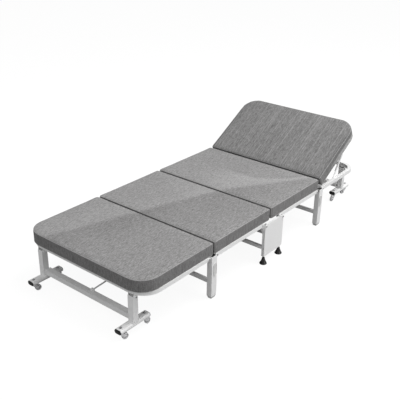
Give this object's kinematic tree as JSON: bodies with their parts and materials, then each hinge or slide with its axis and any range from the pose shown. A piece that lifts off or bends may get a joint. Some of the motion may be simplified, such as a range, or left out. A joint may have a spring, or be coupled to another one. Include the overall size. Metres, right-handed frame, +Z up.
{
  "type": "folding guest bed",
  "caption": "Folding rollaway guest bed with a padded sectional mattress, a tilting backrest, a drop-down centre stand and castored end legs.",
  "frame": {"origin": "on the floor under the middle seam, half way across the bed", "axes": "+X to the head end, +Y across the bed, +Z up"},
  "size_m": [1.972, 0.8098, 0.5065],
  "materials": {
    "white_steel": "satin white powder coat",
    "white_plastic": "moulded",
    "black_plastic": "moulded",
    "grey_fabric": "heather woven cover over foam",
    "plywood": "sanded",
    "clear_plastic": "milky translucent"
  },
  "bodies": {
    "stand": {"stand_frame": "white_steel", "stand_cover_left": "white_steel", "stand_cover_right": "white_steel"},
    "levelling_foot_foot_left": {"levelling_foot_foot_left": "black_plastic"},
    "levelling_foot_foot_right": {"levelling_foot_foot_right": "black_plastic"},
    "levelling_foot_head_left": {"levelling_foot_head_left": "black_plastic"},
    "levelling_foot_head_right": {"levelling_foot_head_right": "black_plastic"},
    "foot_inner_section": {"foot_inner_frame": "white_steel", "foot_inner_board": "plywood", "foot_inner_mattress": "grey_fabric"},
    "foot_middle_leg": {"foot_middle_leg": "white_steel", "foot_leg_tip_left": "white_plastic", "foot_leg_tip_right": "white_plastic", "foot_leg_keeper_left": "white_plastic", "foot_leg_keeper_right": "white_plastic"},
    "foot_link_rod": {"foot_link_rod": "white_steel"},
    "foot_end_leg": {"foot_end_leg": "white_steel", "foot_rail_plug_left": "black_plastic", "foot_rail_plug_right": "black_plastic"},
    "head_inner_section": {"head_inner_frame": "white_steel", "head_inner_board": "plywood", "head_inner_mattress": "grey_fabric"},
    "head_middle_leg": {"head_middle_leg": "white_steel", "head_leg_tip_left": "white_plastic", "head_leg_tip_right": "white_plastic", "head_leg_keeper_left": "white_plastic", "head_leg_keeper_right": "white_plastic"},
    "head_link_rod": {"head_link_rod": "white_steel"},
    "head_end_leg": {"head_end_leg": "white_steel", "head_rail_plug_left": "black_plastic", "head_rail_plug_right": "black_plastic"},
    "foot_section": {"foot_frame": "white_steel", "foot_board": "plywood", "foot_mattress": "grey_fabric"},
    "head_section": {"head_frame": "white_steel"},
    "backrest": {"backrest_frame": "white_steel", "backrest_board": "plywood", "backrest_mattress": "grey_fabric"},
    "strut_lower_left": {"strut_lower_left": "white_steel"},
    "strut_upper_left": {"strut_upper_left": "white_steel"},
    "strut_lower_right": {"strut_lower_right": "white_steel"},
    "strut_upper_right": {"strut_upper_right": "white_steel"},
    "castor_swivel_foot_outer_right": {"castor_fork_foot_outer_right": "clear_plastic"},
    "castor_wheel_foot_outer_right": {"castor_wheel_foot_outer_right": "clear_plastic"},
    "castor_swivel_foot_outer_left": {"castor_fork_foot_outer_left": "clear_plastic"},
    "castor_wheel_foot_outer_left": {"castor_wheel_foot_outer_left": "clear_plastic"},
    "castor_swivel_foot_inner_right": {"castor_fork_foot_inner_right": "clear_plastic"},
    "castor_wheel_foot_inner_right": {"castor_wheel_foot_inner_right": "clear_plastic"},
    "castor_swivel_foot_inner_left": {"castor_fork_foot_inner_left": "clear_plastic"},
    "castor_wheel_foot_inner_left": {"castor_wheel_foot_inner_left": "clear_plastic"},
    "castor_swivel_head_inner_right": {"castor_fork_head_inner_right": "clear_plastic"},
    "castor_wheel_head_inner_right": {"castor_wheel_head_inner_right": "clear_plastic"},
    "castor_swivel_head_inner_left": {"castor_fork_head_inner_left": "clear_plastic"},
    "castor_wheel_head_inner_left": {"castor_wheel_head_inner_left": "clear_plastic"},
    "castor_swivel_head_outer_right": {"castor_fork_head_outer_right": "clear_plastic"},
    "castor_wheel_head_outer_right": {"castor_wheel_head_outer_right": "clear_plastic"},
    "castor_swivel_head_outer_left": {"castor_fork_head_outer_left": "clear_plastic"},
    "castor_wheel_head_outer_left": {"castor_wheel_head_outer_left": "clear_plastic"}
  },
  "joints": [
    {"name": "foot_inner_fold", "type": "hinge", "parent": "stand", "child": "foot_inner_section", "pos_m": [-0.075, 0, 0.215], "axis": [0, 1, 0], "range_deg": [0, 90]},
    {"name": "foot_middle_leg_fold", "type": "hinge", "parent": "foot_inner_section", "child": "foot_middle_leg", "pos_m": [-0.446, 0, 0.215], "axis": [0, -1, 0], "range_deg": [0, 90]},
    {"name": "foot_section_fold", "type": "hinge", "parent": "foot_middle_leg", "child": "foot_section", "pos_m": [-0.504, 0, 0.215], "axis": [0, -1, 0], "range_deg": [0, 90]},
    {"name": "foot_end_leg_fold", "type": "hinge", "parent": "foot_section", "child": "foot_end_leg", "pos_m": [-0.899, 0, 0.188], "axis": [0, 1, 0], "range_deg": [0, 90]},
    {"name": "foot_link_rod_fold", "type": "hinge", "parent": "foot_middle_leg", "child": "foot_link_rod", "pos_m": [-0.488, -0.026, 0.125], "axis": [0, -1, 0], "range_deg": [0, 90]},
    {"name": "head_inner_fold", "type": "hinge", "parent": "stand", "child": "head_inner_section", "pos_m": [0.075, 0, 0.215], "axis": [0, -1, 0], "range_deg": [0, 90]},
    {"name": "head_middle_leg_fold", "type": "hinge", "parent": "head_inner_section", "child": "head_middle_leg", "pos_m": [0.446, 0, 0.215], "axis": [0, 1, 0], "range_deg": [0, 90]},
    {"name": "head_section_fold", "type": "hinge", "parent": "head_middle_leg", "child": "head_section", "pos_m": [0.504, 0, 0.215], "axis": [0, 1, 0], "range_deg": [0, 90]},
    {"name": "head_end_leg_fold", "type": "hinge", "parent": "head_section", "child": "head_end_leg", "pos_m": [0.899, 0, 0.188], "axis": [0, -1, 0], "range_deg": [0, 90]},
    {"name": "head_link_rod_fold", "type": "hinge", "parent": "head_middle_leg", "child": "head_link_rod", "pos_m": [0.488, -0.026, 0.125], "axis": [0, 1, 0], "range_deg": [0, 90]},
    {"name": "backrest_tilt", "type": "hinge", "parent": "head_section", "child": "backrest", "pos_m": [0.481, 0, 0.215], "axis": [0, -1, 0], "range_deg": [-30, 10]},
    {"name": "strut_lower_left_turn", "type": "hinge", "parent": "head_section", "child": "strut_lower_left", "pos_m": [0.658, 0, 0.211], "axis": [0, -1, 0], "range_deg": [-56, 20]},
    {"name": "strut_upper_left_turn", "type": "hinge", "parent": "backrest", "child": "strut_upper_left", "pos_m": [0.77658, 0, 0.38104], "axis": [0, -1, 0], "range_deg": [-28, 12]},
    {"name": "strut_lower_right_turn", "type": "hinge", "parent": "head_section", "child": "strut_lower_right", "pos_m": [0.658, 0, 0.211], "axis": [0, -1, 0], "range_deg": [-56, 20]},
    {"name": "strut_upper_right_turn", "type": "hinge", "parent": "backrest", "child": "strut_upper_right", "pos_m": [0.77658, 0, 0.38104], "axis": [0, -1, 0], "range_deg": [-28, 12]},
    {"name": "castor_swivel_foot_outer_right_turn", "type": "hinge", "parent": "foot_end_leg", "child": "castor_swivel_foot_outer_right", "pos_m": [-0.969, -0.286, 0.04], "axis": [0, 0, 1], "continuous": true},
    {"name": "castor_wheel_foot_outer_right_spin", "type": "hinge", "parent": "castor_swivel_foot_outer_right", "child": "castor_wheel_foot_outer_right", "pos_m": [-0.95029, -0.2893, 0.015], "axis": [0.1736, 0.9848, 0], "continuous": true},
    {"name": "castor_swivel_foot_outer_left_turn", "type": "hinge", "parent": "foot_end_leg", "child": "castor_swivel_foot_outer_left", "pos_m": [-0.969, 0.286, 0.04], "axis": [0, 0, 1], "continuous": true},
    {"name": "castor_wheel_foot_outer_left_spin", "type": "hinge", "parent": "castor_swivel_foot_outer_left", "child": "castor_wheel_foot_outer_left", "pos_m": [-0.95029, 0.2827, 0.015], "axis": [0.1736, 0.9848, 0], "continuous": true},
    {"name": "castor_swivel_foot_inner_right_turn", "type": "hinge", "parent": "foot_end_leg", "child": "castor_swivel_foot_inner_right", "pos_m": [-0.829, -0.286, 0.04], "axis": [0, 0, 1], "continuous": true},
    {"name": "castor_wheel_foot_inner_right_spin", "type": "hinge", "parent": "castor_swivel_foot_inner_right", "child": "castor_wheel_foot_inner_right", "pos_m": [-0.81007, -0.28434, 0.015], "axis": [-0.0872, 0.9962, 0], "continuous": true},
    {"name": "castor_swivel_foot_inner_left_turn", "type": "hinge", "parent": "foot_end_leg", "child": "castor_swivel_foot_inner_left", "pos_m": [-0.829, 0.286, 0.04], "axis": [0, 0, 1], "continuous": true},
    {"name": "castor_wheel_foot_inner_left_spin", "type": "hinge", "parent": "castor_swivel_foot_inner_left", "child": "castor_wheel_foot_inner_left", "pos_m": [-0.81255, 0.2955, 0.015], "axis": [-0.5, 0.866, 0], "continuous": true},
    {"name": "castor_swivel_head_inner_right_turn", "type": "hinge", "parent": "head_end_leg", "child": "castor_swivel_head_inner_right", "pos_m": [0.829, -0.286, 0.04], "axis": [0, 0, 1], "continuous": true},
    {"name": "castor_wheel_head_inner_right_spin", "type": "hinge", "parent": "castor_swivel_head_inner_right", "child": "castor_wheel_head_inner_right", "pos_m": [0.81007, -0.28766, 0.015], "axis": [0.0872, -0.9962, 0], "continuous": true},
    {"name": "castor_swivel_head_inner_left_turn", "type": "hinge", "parent": "head_end_leg", "child": "castor_swivel_head_inner_left", "pos_m": [0.829, 0.286, 0.04], "axis": [0, 0, 1], "continuous": true},
    {"name": "castor_wheel_head_inner_left_spin", "type": "hinge", "parent": "castor_swivel_head_inner_left", "child": "castor_wheel_head_inner_left", "pos_m": [0.81007, 0.28766, 0.015], "axis": [-0.0872, -0.9962, 0], "continuous": true},
    {"name": "castor_swivel_head_outer_right_turn", "type": "hinge", "parent": "head_end_leg", "child": "castor_swivel_head_outer_right", "pos_m": [0.969, -0.286, 0.04], "axis": [0, 0, 1], "continuous": true},
    {"name": "castor_wheel_head_outer_right_spin", "type": "hinge", "parent": "castor_swivel_head_outer_right", "child": "castor_wheel_head_outer_right", "pos_m": [0.95029, -0.2827, 0.015], "axis": [-0.1736, -0.9848, 0], "continuous": true},
    {"name": "castor_swivel_head_outer_left_turn", "type": "hinge", "parent": "head_end_leg", "child": "castor_swivel_head_outer_left", "pos_m": [0.969, 0.286, 0.04], "axis": [0, 0, 1], "continuous": true},
    {"name": "castor_wheel_head_outer_left_spin", "type": "hinge", "parent": "castor_swivel_head_outer_left", "child": "castor_wheel_head_outer_left", "pos_m": [0.95115, 0.2925, 0.015], "axis": [-0.342, -0.9397, 0], "continuous": true},
    {"name": "levelling_foot_foot_left_screw", "type": "slide", "parent": "stand", "child": "levelling_foot_foot_left", "axis": [0, 0, 1], "range_m": [-0.008, 0.01]},
    {"name": "levelling_foot_foot_right_screw", "type": "slide", "parent": "stand", "child": "levelling_foot_foot_right", "axis": [0, 0, 1], "range_m": [-0.008, 0.01]},
    {"name": "levelling_foot_head_left_screw", "type": "slide", "parent": "stand", "child": "levelling_foot_head_left", "axis": [0, 0, 1], "range_m": [-0.008, 0.01]},
    {"name": "levelling_foot_head_right_screw", "type": "slide", "parent": "stand", "child": "levelling_foot_head_right", "axis": [0, 0, 1], "range_m": [-0.008, 0.01]}
  ],
  "couplings": [
    {"joint": "foot_middle_leg_fold", "follows": "foot_inner_fold", "ratio": 1},
    {"joint": "foot_section_fold", "follows": "foot_inner_fold", "ratio": 1},
    {"joint": "foot_end_leg_fold", "follows": "foot_inner_fold", "ratio": 1},
    {"joint": "foot_link_rod_fold", "follows": "foot_inner_fold", "ratio": 1},
    {"joint": "head_inner_fold", "follows": "foot_inner_fold", "ratio": 1},
    {"joint": "head_middle_leg_fold", "follows": "foot_inner_fold", "ratio": 1},
    {"joint": "head_section_fold", "follows": "foot_inner_fold", "ratio": 1},
    {"joint": "head_end_leg_fold", "follows": "foot_inner_fold", "ratio": 1},
    {"joint": "head_link_rod_fold", "follows": "foot_inner_fold", "ratio": 1},
    {"joint": "strut_lower_left_turn", "follows": "backrest_tilt", "ratio": 1.8369},
    {"joint": "strut_upper_left_turn", "follows": "backrest_tilt", "ratio": 0.8369},
    {"joint": "strut_lower_right_turn", "follows": "backrest_tilt", "ratio": 1.8369},
    {"joint": "strut_upper_right_turn", "follows": "backrest_tilt", "ratio": 0.8369}
  ]
}
